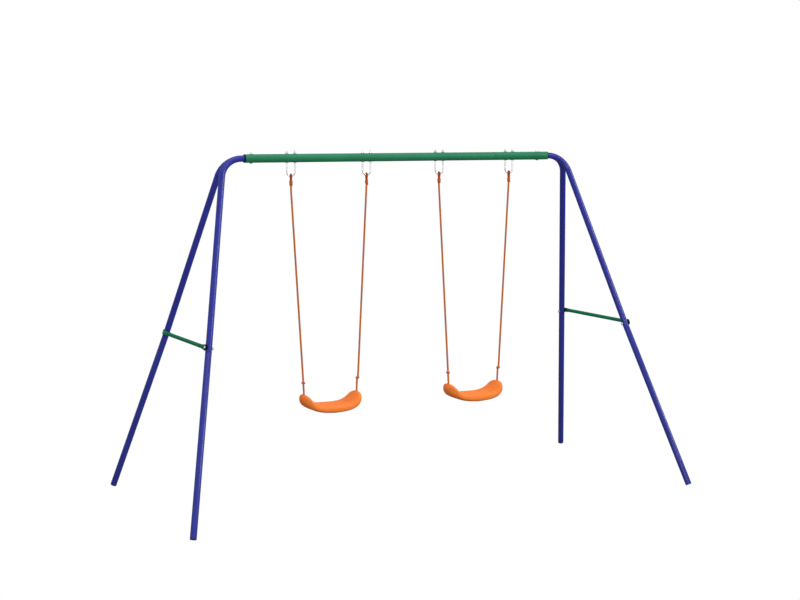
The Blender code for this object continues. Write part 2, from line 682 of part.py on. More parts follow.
knot_heights = iter(KNOT_Z)
for (swing, pair), centre in zip(SWINGS.items(), SWING_X):
    swing_pivot = bpy.data.objects.new(swing + "_swing_pivot", None)
    swing_pivot.location = (centre, 0, WIRE_LOW_Z)
    parts.objects.link(swing_pivot)
    seat_pivot = bpy.data.objects.new(swing + "_seat_pivot", None)
    seat_pivot.location = (centre, 0, SEAT_PIVOT_Z)
    parts.objects.link(seat_pivot)
    place_on(seat_pivot, swing_pivot)
    bpy.context.view_layer.update()

    seat = loft(swing + "_seat", [seat_ring(centre, u) for u in seat_us],
                ORANGE, parts)
    bm = bmesh.new()
    for s in (-1, 1):
        bmesh.ops.create_cone(
            bm, cap_ends=True, segments=12, radius1=0.0066, radius2=0.0082,
            depth=0.020, matrix=Matrix.Translation(
                (centre + s * ROPE_HALF_AT_SEAT, 0, HORN_TOP_Z - 0.005)))
    mouths = hide_cutter(object_from_bm(swing + "_rope_mouths", bm, None, cutters))
    boolean(seat, mouths)
    place_on(seat, seat_pivot)

    for which, x in zip(("outer", "inner") if swing == "left" else
                        ("inner", "outer"), pair):
        s = -1 if x < centre else 1
        top = Vector((x, 0, WIRE_LOW_Z))
        hole_x = centre + s * ROPE_HALF_AT_SEAT
        run = Vector((0, 0, -1))
        eye_r = 0.0096

        # the rope, from the bottom of the eye into the seat
        pts = [top + run * eye_r, Vector((x, 0, ROPE_PLUMB_TO[s]))]
        pts += [Vector((hole_x + dx, 0, z)) for dx, z in ROPE_WAY[s]]
        pts.append(Vector((hole_x, 0, ROPE_END_Z)))
        mesh = swept_mesh("{}_{}_rope".format(swing, which), pts,
                          [ROPE_R] * len(pts), 8)
        rope = link(bpy.data.objects.new("{}_{}_rope".format(swing, which), mesh),
                    parts, ROPE)
        smooth(rope)

        # eye round the U-bolt
        side_dir = Vector((0, 1, 0))
        ring = [top + (run * math.cos(a) + side_dir * math.sin(a)) * eye_r
                for a in (2 * math.pi * i / 12 for i in range(12))]
        eye_name = "{}_{}_eye".format(swing, which)
        eye = hide_cutter(link(bpy.data.objects.new(
            eye_name, swept_mesh(eye_name, ring, [ROPE_R] * 12, 8,
                                 caps=False, cyclic=True)), cutters))

        # the knot under the eye and the small one above the seat
        bm = bmesh.new()
        small = next(knot_heights)
        knot_x = hole_x + (ROPE_WAY[s][0][0] + ROPE_WAY[s][1][0]) / 2
        for kx, kz, half_len, radius in ((x, BIG_KNOT_Z, 0.0175, 0.0095),
                                         (knot_x, small, 0.0078, 0.0105)):
            m = frame_matrix((kx, 0, kz), run, (0.2, 1, 0))
            bmesh.ops.create_uvsphere(
                bm, u_segments=12, v_segments=6, radius=1.0,
                matrix=m @ Matrix.Diagonal((radius, radius, half_len, 1.0)))
        knots = hide_cutter(object_from_bm("{}_{}_knots".format(swing, which),
                                           bm, None, cutters))
        boolean(rope, eye, "UNION")
        boolean(rope, knots, "UNION")
        place_on(rope, swing_pivot)

bpy.context.view_layer.update()
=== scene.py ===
"""Garden swing set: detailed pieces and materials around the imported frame.

Metres, +Z up.  X runs along the crossbar, the front legs stand at -Y, and the
origin is on the ground under the middle of the frame.
"""
import math

import bmesh
import bpy
import numpy as np
from mathutils import Matrix, Vector


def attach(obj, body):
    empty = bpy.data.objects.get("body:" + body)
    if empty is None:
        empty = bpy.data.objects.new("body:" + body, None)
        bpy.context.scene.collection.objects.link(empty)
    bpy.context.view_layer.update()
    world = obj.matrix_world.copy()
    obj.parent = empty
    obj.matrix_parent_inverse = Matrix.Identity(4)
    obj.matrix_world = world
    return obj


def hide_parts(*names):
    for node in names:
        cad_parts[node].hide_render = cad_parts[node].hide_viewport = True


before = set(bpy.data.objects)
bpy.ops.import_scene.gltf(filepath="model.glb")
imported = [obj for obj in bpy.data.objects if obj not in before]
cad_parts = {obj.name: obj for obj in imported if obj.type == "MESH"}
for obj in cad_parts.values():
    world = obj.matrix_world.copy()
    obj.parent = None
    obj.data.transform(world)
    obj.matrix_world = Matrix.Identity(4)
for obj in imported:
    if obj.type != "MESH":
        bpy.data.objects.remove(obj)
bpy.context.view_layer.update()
scene = bpy.context.scene

# --------------------------------------------------------------------------
# Camera: the photograph's viewpoint
# --------------------------------------------------------------------------
yaw, pitch = math.radians(25.599), math.radians(6.074)
forward = Vector((math.sin(yaw) * math.cos(pitch),
                  math.cos(yaw) * math.cos(pitch), -math.sin(pitch)))
cam = bpy.data.cameras.new("camera")
cam_obj = bpy.data.objects.new("camera", cam)
scene.collection.objects.link(cam_obj)
cam.sensor_width = 36.0
cam.lens = 1686.9 * 36.0 / 800.0
cam.clip_start, cam.clip_end = 0.1, 200.0
cam_obj.location = (-3.897, -8.119, 1.973)
cam_obj.rotation_mode = "QUATERNION"
cam_obj.rotation_quaternion = forward.to_track_quat("-Z", "Y")
scene.camera = cam_obj

# --------------------------------------------------------------------------
# Sizes, as in the frame
# --------------------------------------------------------------------------
GAP = 0.0003
BAR_Z, BAR_R, BAR_WALL = 1.780, 0.022, 0.0015
BAR_LEFT, BAR_RIGHT, BAR_SEAM_X = -0.885, 0.893, 0.556
BAR_SWAGE, SEAM_GAP = 0.066, 0.0012
LEG_R, LEG_WALL = 0.0165, 0.0012
LEG_TOP_X, BEND_R = 1.000, 0.120
UPPER_SX, UPPER_SY = 0.2245, 0.3671
STUB_IN_X = 0.800
LEG_SEAM_Z, LEG_SWAGE = 0.842, 0.072
FOOT_X, FOOT_Y, FOOT_FLANGE = 1.4105, 0.6719, 0.0025
BOLT_R, HOLE_R = 0.004, 0.0044
BRACE_Z, BRACE_R = 0.8655, 0.010
BRACE_HALF_H = [(-0.052, 0.0100), (-0.040, 0.0108), (-0.030, 0.0121),
                (-0.022, 0.0131), (-0.017, 0.0134), (-0.012, 0.0132),
                (-0.007, 0.0124), (-0.003, 0.0116), (0.0, 0.0110),
                (0.004, 0.0099), (0.007, 0.0080), (0.0090, 0.0050),
                (0.0098, 0.0024)]
BRACE_HALF_T = [(-0.052, 0.0100), (-0.040, 0.0078), (-0.030, 0.0046),
                (-0.022, 0.0021), (-0.016, 0.0014), (0.0098, 0.0014)]
BRACE_OUT = [(-0.052, 0.0212), (-0.040, 0.0209), (-0.022, 0.0199),
             (-0.016, 0.0197), (0.0098, 0.0197)]
TAB_FACE, SADDLE_FACE, SADDLE_R = 0.0211, 0.0180, 0.0150
CAP_BACK, CAP_FACE, CAP_R = 0.0214, 0.0230, 0.0164
FRONT_HEAD, REAR_HEAD = (0.0092, 0.0026), (0.0065, 0.0016)
END_BOLT_X = (-0.8505, 0.8333)
HANGER_X = (-0.632, -0.203, 0.226, 0.655)
UBOLT_HALF, WIRE_R = 0.0225, 0.004
WIRE_LOW_Z, WIRE_TOP_Z = 1.6875, BAR_Z + 0.040
PAD_R, PAD_TOP = 0.0095, 0.0232
ROPE_R = 0.005
SWING_X = (-0.4155, 0.4385)
SEAT_HALF_LEN, SEAT_HALF_WIDTH = 0.1676, 0.0885
ROPE_HALF_AT_SEAT = 0.1517
HORN_TOP_Z = 0.541
ROPE_END_Z = HORN_TOP_Z - 0.008
BIG_KNOT_Z = 1.652
KNOT_Z = (0.603, 0.6095, 0.603, 0.611)
# the ropes' way down: they hang plumb to the first height, and then pass
# points given from the hole in the seat, for the left and the right rope
ROUTE = {-1: [(0.0, 1.615), (-0.0030, 0.610), (-0.0026, 0.596),
              (0.0, 0.550), (0.0, ROPE_END_Z)],
         1: [(0.0, 1.640), (0.0082, 0.617), (0.0026, 0.603),
             (0.0, 0.550), (0.0, ROPE_END_Z)]}
NUT_AF, NUT_H = 0.013, 0.0065

LEGS = {"left_front": (-1, -1), "left_rear": (-1, 1),
        "right_front": (1, -1), "right_rear": (1, 1)}


# --------------------------------------------------------------------------
# Materials
# --------------------------------------------------------------------------
class Shader:
    """A small helper that wires procedural nodes into a Principled shader."""

    def __init__(self, name):
        self.mat = bpy.data.materials.new(name)
        self.mat.use_nodes = True
        self.tree = self.mat.node_tree
        self.bsdf = self.tree.nodes["Principled BSDF"]
        self.coord = self.tree.nodes.new("ShaderNodeTexCoord")

    def set(self, **values):
        for key, value in values.items():
            socket = self.bsdf.inputs[key.replace("_", " ")]
            if isinstance(value, tuple) and len(value) == 3 and \
                    socket.type == "RGBA":
                value = (*value, 1.0)
            socket.default_value = value

    def node(self, kind, **props):
        n = self.tree.nodes.new("ShaderNode" + kind)
        for key, value in props.items():
            setattr(n, key, value)
        return n

    def join(self, a, b):
        self.tree.links.new(a, b)

    def noise(self, scale, detail=2.0, rough=0.5, stretch=None, warp=0.0):
        n = self.node("TexNoise")
        n.inputs["Scale"].default_value = scale
        n.inputs["Detail"].default_value = detail
        n.inputs["Roughness"].default_value = rough
        n.inputs["Distortion"].default_value = warp
        source = self.coord.outputs["Object"]
        if stretch is not None:
            m = self.node("Mapping")
            m.inputs["Scale"].default_value = stretch
            self.join(source, m.inputs["Vector"])
            source = m.outputs["Vector"]
        self.join(source, n.inputs["Vector"])
        return n.outputs["Fac"]

    def ramp(self, fac, stops):
        r = self.node("ValToRGB")
        els = r.color_ramp.elements
        while len(els) < len(stops):
            els.new(0.5)
        for e, (pos, rgb) in zip(els, stops):
            e.position = pos
            e.color = (*rgb, 1.0)
        self.join(fac, r.inputs["Fac"])
        return r.outputs["Color"]

    def remap(self, fac, lo, hi, a, b):
        m = self.node("MapRange")
        for key, value in (("From Min", lo), ("From Max", hi),
                           ("To Min", a), ("To Max", b)):
            m.inputs[key].default_value = value
        self.join(fac, m.inputs["Value"])
        return m.outputs["Result"]

    def math(self, op, a, b=0.0, c=None):
        m = self.node("Math", operation=op)
        for i, value in enumerate((a, b) if c is None else (a, b, c)):
            if isinstance(value, (int, float)):
                m.inputs[i].default_value = value
            else:
                self.join(value, m.inputs[i])
        return m.outputs[0]

    def multiply(self, colour, factor):
        m = self.node("Mix", data_type="RGBA", blend_type="MULTIPLY")
        m.inputs["Factor"].default_value = 1.0
        self.join(colour, m.inputs["A"])
        self.join(factor, m.inputs["B"])
        return m.outputs["Result"]

    def bump(self, heights):
        """Chain of (height socket, strength, distance in metres)."""
        normal = None
        for height, strength, distance in heights:
            b = self.node("Bump")
            b.inputs["Strength"].default_value = strength
            b.inputs["Distance"].default_value = distance
            self.join(height, b.inputs["Height"])
            if normal is not None:
                self.join(normal, b.inputs["Normal"])
            normal = b.outputs["Normal"]
        self.join(normal, self.bsdf.inputs["Normal"])

    def colour(self, socket):
        self.join(socket, self.bsdf.inputs["Base Color"])

    def roughness(self, socket):
        self.join(socket, self.bsdf.inputs["Roughness"])


def scaled(rgb, k):
    return tuple(min(1.0, c * k) for c in rgb)


def powder_coat(name, rgb, rough, gloss=0.04, coat=0.32):
    """Baked powder paint: soft gloss, orange peel, faint cloudiness."""
    s = Shader(name)
    cloud = s.noise(9.0, 3.0, 0.55)
    fine = s.noise(160.0, 2.0, 0.6)
    base = s.ramp(cloud, [(0.28, scaled(rgb, 0.90)), (0.72, scaled(rgb, 1.08))])
    speck = s.ramp(fine, [(0.30, (0.95,) * 3), (0.70, (1.0,) * 3)])
    s.colour(s.multiply(base, speck))
    s.roughness(s.remap(s.noise(45.0, 3.0), 0.3, 0.7, rough - 0.05, rough + 0.06))
    s.set(Metallic=0.0, Specular_IOR_Level=gloss, Coat_Weight=coat,
          Coat_Roughness=0.07)
    s.bump([(s.noise(620.0, 2.0, 0.55), 0.08, 0.00004),
            (s.noise(2300.0, 1.0), 0.06, 0.00001)])
    return s.mat


def moulded(name, rgb, rough, gloss, soft=0.0):
    """Moulded plastic: satin grain, faint flow marks, a little light inside."""
    s = Shader(name)
    flow = s.noise(7.0, 3.0, 0.5, stretch=(0.5, 1.0, 1.6), warp=0.6)
    base = s.ramp(flow, [(0.25, scaled(rgb, 0.94)), (0.75, scaled(rgb, 1.05))])
    grain = s.ramp(s.noise(700.0, 2.0, 0.6),
                   [(0.3, (0.985,) * 3), (0.7, (1.0,) * 3)])
    s.colour(s.multiply(base, grain))
    s.roughness(s.remap(s.noise(35.0, 3.0), 0.3, 0.7, rough - 0.05, rough + 0.07))
    s.set(Specular_IOR_Level=gloss)
    if soft:
        s.set(Subsurface_Weight=soft, Subsurface_Scale=0.004,
              Subsurface_Radius=(1.0, 0.35, 0.12))
    s.bump([(s.noise(260.0, 1.0, 0.5), 0.03, 0.00002),
            (s.noise(40.0, 1.0), 0.05, 0.00015)])
    return s.mat


def zinc(name):
    """Bright zinc plating: cool metal with faint blue and straw patches."""
    s = Shader(name)
    patch = s.noise(70.0, 3.0, 0.6)
    s.colour(s.ramp(patch, [(0.25, (0.80, 0.82, 0.85)), (0.5, (0.86, 0.86, 0.87)),
                            (0.8, (0.87, 0.85, 0.82))]))
    s.roughness(s.remap(s.noise(240.0, 3.0, 0.6), 0.3, 0.7, 0.30, 0.42))
    s.set(Metallic=1.0)
    s.bump([(s.noise(1500.0, 2.0, 0.6), 0.10, 0.00001),
            (s.noise(220.0, 2.0), 0.08, 0.00004)])
    return s.mat


def rope_fibre(name, rgb):
    """Laid polymer rope: fine yarns run slanting over each strand.

    The UV map is in metres: U round the rope along with its strands, V along.
    """
    s = Shader(name)
    uv = s.node("SeparateXYZ")
    s.join(s.coord.outputs["UV"], uv.inputs["Vector"])
    u, v = uv.outputs["X"], uv.outputs["Y"]
    waver = s.noise(260.0, 2.0)
    lean = s.math("MULTIPLY_ADD", v, 620.0, s.math("MULTIPLY", u, 1250.0))
    phase = s.math("MULTIPLY_ADD", waver, 2.4,
                   s.math("MULTIPLY", lean, 2 * math.pi))
    yarn = s.math("MULTIPLY_ADD", s.math("SINE", phase), 0.5, 0.5)
    fibre = s.noise(5200.0, 2.0, 0.6)
    height = s.math("MULTIPLY_ADD", fibre, 0.35, yarn)
    base = s.ramp(s.noise(30.0, 3.0), [(0.25, scaled(rgb, 0.94)),
                                       (0.75, scaled(rgb, 1.06))])
    # the grooves between yarns are painted darker: painted shade
    groove_painted_shade = s.ramp(yarn, [(0.0, (0.80,) * 3), (0.50, (1.0,) * 3)])
    s.colour(s.multiply(base, groove_painted_shade))
    s.roughness(s.remap(fibre, 0.3, 0.7, 0.62, 0.82))
    s.set(Specular_IOR_Level=0.12)
    s.bump([(height, 0.5, 0.00018)])
    return s.mat


BLUE_U = powder_coat("blue_powder_coat_upper", (0.026, 0.033, 0.285), 0.30)
# The lower tubes' copy of the blue is slightly darker and greyer: painted shade for how
# light falls on them below the kink.
BLUE_LOWER_PAINTED_SHADE = powder_coat("blue_powder_coat_lower_painted_shade", (0.027, 0.034, 0.265), 0.32)
GREEN = powder_coat("green_powder_coat", (0.021, 0.196, 0.093), 0.36, 0.10, 0.10)
GREEN_B = powder_coat("green_powder_coat_brace", (0.011, 0.185, 0.082), 0.50, 0.01, 0.0)
ORANGE = moulded("orange_plastic", (0.91, 0.228, 0.045), 0.62, 0.04)
BLACK = moulded("black_plastic", (0.004, 0.004, 0.006), 0.55, 0.10)
NAVY = moulded("navy_plastic", (0.020, 0.023, 0.140), 0.50, 0.20)
ZINC = zinc("zinc_plate")
ROPE = rope_fibre("orange_rope_yarn", (0.57, 0.142, 0.032))
# The rope eyes' copy of the rope colour is darker: painted shade where they hang under
# the bar.
ROPE_EYE_PAINTED_SHADE = rope_fibre("orange_rope_yarn_eye_painted_shade", (0.47, 0.080, 0.012))
ROPE_KNOT = rope_fibre("orange_rope_yarn_knot", (0.62, 0.115, 0.026))


# --------------------------------------------------------------------------
# Shape makers
# --------------------------------------------------------------------------
def put(name, mesh, mat, body, replaced=(), sharp=40.0):
    obj = bpy.data.objects.new(name, mesh)
    scene.collection.objects.link(obj)
    mesh.materials.clear()
    mesh.materials.append(mat)
    mesh.shade_smooth()
    mesh.set_sharp_from_angle(angle=math.radians(sharp))
    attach(obj, body)
    if replaced:
        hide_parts(*replaced)
    return obj


def interp(table, x):
    """Smooth (monotone cubic) interpolation in a table of (x, y) pairs."""
    if x <= table[0][0]:
        return table[0][1]
    if x >= table[-1][0]:
        return table[-1][1]
    xs = [p[0] for p in table]
    ys = [p[1] for p in table]
    slopes = [(ys[i + 1] - ys[i]) / (xs[i + 1] - xs[i])
              for i in range(len(xs) - 1)]
    tang = [slopes[0]]
    for a, b in zip(slopes[:-1], slopes[1:]):
        tang.append(0.0 if a * b <= 0 else 2 * a * b / (a + b))
    tang.append(slopes[-1])
    i = max(k for k in range(len(xs) - 1) if xs[k] <= x)
    h = xs[i + 1] - xs[i]
    t = (x - xs[i]) / h
    return ((2 * t**3 - 3 * t**2 + 1) * ys[i]
            + (t**3 - 2 * t**2 + t) * h * tang[i]
            + (-2 * t**3 + 3 * t**2) * ys[i + 1]
            + (t**3 - t**2) * h * tang[i + 1])


def unit(v):
    return v / np.linalg.norm(v)


def transport(points, hint):
    """Tangents and two normals along a line, without twisting."""
    p = np.asarray(points, float)
    t = np.empty_like(p)
    t[1:-1] = p[2:] - p[:-2]
    t[0], t[-1] = p[1] - p[0], p[-1] - p[-2]
    t /= np.linalg.norm(t, axis=1)[:, None]
    a = np.empty_like(p)
    h = np.asarray(hint, float)
    a[0] = unit(h - t[0] * (h @ t[0]))
    for i in range(1, len(p)):
        a[i] = unit(a[i - 1] - t[i] * (a[i - 1] @ t[i]))
    return t, a, np.cross(t, a)


def skin(name, rings, around=None, along=None, loop=False, caps=True):
    """Mesh over rings of equal length; UVs in metres where given."""
    rings = np.asarray(rings, float)
    m, n = rings.shape[:2]
    verts = rings.reshape(-1, 3)
    rows = range(m) if loop else range(m - 1)
    faces, uvs = [], []
    if around is None:
        around = np.linspace(0, 1, n + 1)
    if along is None:
        along = np.linspace(0, 1, m + 1)
    if len(along) == m:
        along = np.append(along, along[-1])
    for i in rows:
        k = (i + 1) % m
        for j in range(n):
            q = (j + 1) % n
            faces.append((i * n + j, i * n + q, k * n + q, k * n + j))
            uvs += [(around[j], along[i]), (around[j + 1], along[i]),
                    (around[j + 1], along[i + 1]), (around[j], along[i + 1])]
    if caps and not loop:
        faces.append(tuple(range(n - 1, -1, -1)))
        faces.append(tuple(range((m - 1) * n, m * n)))
        uvs += [(around[j], along[0]) for j in range(n - 1, -1, -1)]
        uvs += [(around[j], along[m - 1]) for j in range(n)]
    mesh = bpy.data.meshes.new(name)
    mesh.from_pydata(verts.tolist(), [], faces)
    layer = mesh.uv_layers.new(name="UVMap")
    layer.data.foreach_set("uv", np.asarray(uvs, np.float32).ravel())
    bm = bmesh.new()
    bm.from_mesh(mesh)
    bmesh.ops.recalc_face_normals(bm, faces=bm.faces)
    bm.to_mesh(mesh)
    bm.free()
    return mesh


def tube_rings(points, radii, sides, hint=(0, 1, 0)):
    p = np.asarray(points, float)
    _, a, b = transport(p, hint)
    ang = np.arange(sides) * 2 * math.pi / sides
    c, s = np.cos(ang), np.sin(ang)
    r = np.asarray(radii, float)[:, None, None]
    return p[:, None] + r * (c[None, :, None] * a[:, None]
                             + s[None, :, None] * b[:, None])


def hollow(name, points, outer, wall, sides, hint=(0, 1, 0), edge=0.0004):
    """A tube with open ends, real walls and softened end edges."""
    p = np.asarray(points, float)
    o = np.asarray(outer, float)
    d0, d1 = unit(p[1] - p[0]), unit(p[-1] - p[-2])
    pts = np.vstack([p[:1], p[:1] + d0 * edge, p[1:-1],
                     p[-1:] - d1 * edge, p[-1:]])
    ro = np.concatenate([[o[0] - edge], [o[0]], o[1:-1], [o[-1]],
                         [o[-1] - edge]])
    ri = np.concatenate([[o[0] - wall], [o[0] - wall], o[1:-1] - wall,
                         [o[-1] - wall], [o[-1] - wall]])
    out = tube_rings(pts, ro, sides, hint)
    inn = tube_rings(pts, ri, sides, hint)
    rings = np.concatenate([out, inn[::-1]])
    return skin(name, rings, loop=True)


def turned(name, profile, sides, matrix, loop=False):
    """A turned piece from (radius, height) points, from one pole to the other."""
    ang = np.arange(sides) * 2 * math.pi / sides
    rings = [[(max(r, 1e-6) * math.cos(a), max(r, 1e-6) * math.sin(a), z)
              for a in ang] for r, z in profile]
    mesh = skin(name, rings, loop=loop, caps=not loop)
    mesh.transform(matrix)
    return mesh


def frame_matrix(origin, z_axis, x_hint):
    z = Vector(z_axis).normalized()
    x = Vector(x_hint) - z * Vector(x_hint).dot(z)
    x.normalize()
    y = z.cross(x)
    rot = Matrix((x, y, z)).transposed().to_4x4()
    return Matrix.Translation(Vector(origin)) @ rot


def temp(mesh):
    obj = bpy.data.objects.new("cutter", mesh)
    scene.collection.objects.link(obj)
    return obj


def cut(mesh, *steps):
    """Booleans on a mesh: pairs of (operation, cutter mesh)."""
    host = temp(mesh)
    used = []
    for operation, cutter in steps:
        tool = temp(cutter)
        used.append(tool)
        mod = host.modifiers.new("b", "BOOLEAN")
        mod.operation, mod.object, mod.solver = operation, tool, "EXACT"
    bpy.context.view_layer.update()
    deps = bpy.context.evaluated_depsgraph_get()
    made = bpy.data.meshes.new_from_object(host.evaluated_get(deps))
    made.name = mesh.name
    for o in [host, *used]:
        bpy.data.objects.remove(o, do_unlink=True)
    return made


def bevelled(mesh, width, segments=2, angle=40.0):
    host = temp(mesh)
    mod = host.modifiers.new("bevel", "BEVEL")
    mod.width, mod.segments = width, segments
    mod.limit_method, mod.angle_limit = "ANGLE", math.radians(angle)
    mod.use_clamp_overlap = True
    bpy.context.view_layer.update()
    deps = bpy.context.evaluated_depsgraph_get()
    made = bpy.data.meshes.new_from_object(host.evaluated_get(deps))
    made.name = mesh.name
    bpy.data.objects.remove(host, do_unlink=True)
    return made


def join(name, meshes):
    bm = bmesh.new()
    for m in meshes:
        bm.from_mesh(m)
    mesh = bpy.data.meshes.new(name)
    bm.to_mesh(mesh)
    bm.free()
    return mesh


def cylinder(radius, z0, z1, matrix, sides=32):
    return turned("cyl", [(0, z0), (radius, z0), (radius, z1), (0, z1)],
                  sides, matrix)


def threaded_rings(radius, depth, pitch, z0, z1, sides, step):
    """Rings of a screw thread about Z, run out smoothly at the z0 end."""
    zs = np.arange(z0, z1 + 1e-9, step)
    ang = np.arange(sides) * 2 * math.pi / sides
    rings = []
    for z in zs:
        phase = (z / pitch - ang / (2 * math.pi)) % 1.0
        tri = 1 - np.abs(2 * phase - 1)                 # 0 root, 1 crest
        shape = np.clip((tri - 0.12) / 0.70, 0, 1)
        fade = min(1.0, (z - z0) / (1.5 * pitch), 1.0)
        r = radius - depth * fade * (1 - shape)
        rings.append(np.stack([r * np.cos(ang), r * np.sin(ang),
                               np.full(sides, z)], axis=1))
    return rings


# --------------------------------------------------------------------------
# Leg geometry
# --------------------------------------------------------------------------
def upper_dir(sx, sy):
    return Vector((sx * UPPER_SX, sy * UPPER_SY, -1.0)).normalized()


def upper_at(sx, sy, z):
    drop = BAR_Z - z
    return Vector((sx * (LEG_TOP_X + UPPER_SX * drop), sy * UPPER_SY * drop, z))


def outward(sx):
    return Vector((sx, 0.0, UPPER_SX)).normalized()


def foot_end(sx, sy):
    knee = upper_at(sx, sy, LEG_SEAM_Z)
    d = (Vector((sx * FOOT_X, sy * FOOT_Y, 0.0)) - knee).normalized()
    lift = (LEG_R - 0.0002) * math.sqrt(1 - d.z ** 2)
    return Vector((sx * FOOT_X, sy * FOOT_Y, lift))


def bend_path(sx, sy, steps):
    d0 = Vector((sx, 0.0, 0.0))
    d1 = upper_dir(sx, sy)
    corner = Vector((sx * LEG_TOP_X, 0.0, BAR_Z))
    angle = math.acos(d0.dot(d1))
    start = corner - d0 * BEND_R * math.tan(angle / 2)
    inward = (d1 - d0 * d1.dot(d0)).normalized()
    centre = start + inward * BEND_R
    pts = [Vector((sx * STUB_IN_X, 0.0, BAR_Z))]
    for i in range(steps + 1):
        a = angle * i / steps
        pts.append(centre - inward * BEND_R * math.cos(a)
                   + d0 * BEND_R * math.sin(a))
    pts.append(upper_at(sx, sy, LEG_SEAM_Z) - d1 * 0.0010)
    return pts


def half_space(sy):
    """A box on the far side of the plane between the front and rear legs."""
    bm = bmesh.new()
    y = -sy * (1.0 - GAP / 2)
    bmesh.ops.create_cube(bm, size=1.0, matrix=Matrix.Translation((0, y, 1.2))
                          @ Matrix.Diagonal((4.0, 2.0, 2.0, 1.0)))
    mesh = bpy.data.meshes.new("half")
    bm.to_mesh(mesh)
    bm.free()
    return mesh


# --------------------------------------------------------------------------
# Ropes: laid strands, eyes, knots
# --------------------------------------------------------------------------
def laid_rings(points, radius, lay=0.035, lobes=3, sides=30, hint=(0, 1, 0),
               turn=0.0, taper=None):
    """Rings of a laid rope: round strands that wind about the middle line."""
    p = np.asarray(points, float)
    _, a, b = transport(p, hint)
    seg = np.linalg.norm(np.diff(p, axis=0), axis=1)
    s = np.concatenate([[0], np.cumsum(seg)])
    rs = 0.72 * radius                    # one strand's radius
    rc = radius - rs
    ang = np.arange(sides) * 2 * math.pi / sides
    half = math.pi / lobes
    local = (ang + half) % (2 * half) - half
    shape = rc * np.cos(local) + np.sqrt(np.maximum(
        rs ** 2 - (rc * np.sin(local)) ** 2, 0))
    scale = np.ones(len(p)) if taper is None else np.asarray(taper, float)
    spin = turn + s * 2 * math.pi / lay
    phi = ang[None, :] + spin[:, None]
    r = shape[None, :] * scale[:, None]
    rings = p[:, None] + r[..., None] * (np.cos(phi)[..., None] * a[:, None]
                                         + np.sin(phi)[..., None] * b[:, None])
    around = np.linspace(0, 2 * math.pi * radius, sides + 1)
    return rings, around, s


def spaced(points, step):
    p = np.asarray(points, float)
    seg = np.linalg.norm(np.diff(p, axis=0), axis=1)
    s = np.concatenate([[0], np.cumsum(seg)])
    at = np.linspace(0, s[-1], max(2, int(math.ceil(s[-1] / step)) + 1))
    return np.stack([np.interp(at, s, p[:, k]) for k in range(3)], axis=1)


def smooth_line(control, step):
    """Catmull-Rom line through control points, evenly spaced."""
    c = np.asarray(control, float)
    c = np.vstack([2 * c[0] - c[1], c, 2 * c[-1] - c[-2]])
    out = []
    for i in range(1, len(c) - 2):
        p0, p1, p2, p3 = c[i - 1:i + 3]
        for t in np.linspace(0, 1, 14, endpoint=False):
            out.append(0.5 * ((2 * p1) + (p2 - p0) * t
                              + (2 * p0 - 5 * p1 + 4 * p2 - p3) * t * t
                              + (3 * p1 - p0 - 3 * p2 + p3) * t ** 3))
    out.append(c[-2])
    return spaced(out, step)


def rounded(points, step, passes=10):
    """An evenly spaced line through straight runs, its corners eased."""
    p = spaced(points, 0.0015)
    for _ in range(passes):
        q = p.copy()
        q[1:-1] = (p[:-2] + 2 * p[1:-1] + p[2:]) / 4
        p = q
    return spaced(p, step)


def rope_mesh(name, line, radius, lay=0.035, sides=30, hint=(0, 1, 0),
              round_ends=True, turn=0.0):
    n = len(line)
    taper = np.ones(n)
    if round_ends:
        k = min(3, n // 4)
        for i in range(k):
            f = math.sqrt(1 - (1 - (i + 0.35) / (k + 0.35)) ** 2)
            taper[i] = min(taper[i], f)
            taper[n - 1 - i] = min(taper[n - 1 - i], f)
    rings, around, along = laid_rings(line, radius, lay, 3, sides, hint,
                                      turn, taper)
    return skin(name, rings, around, along)


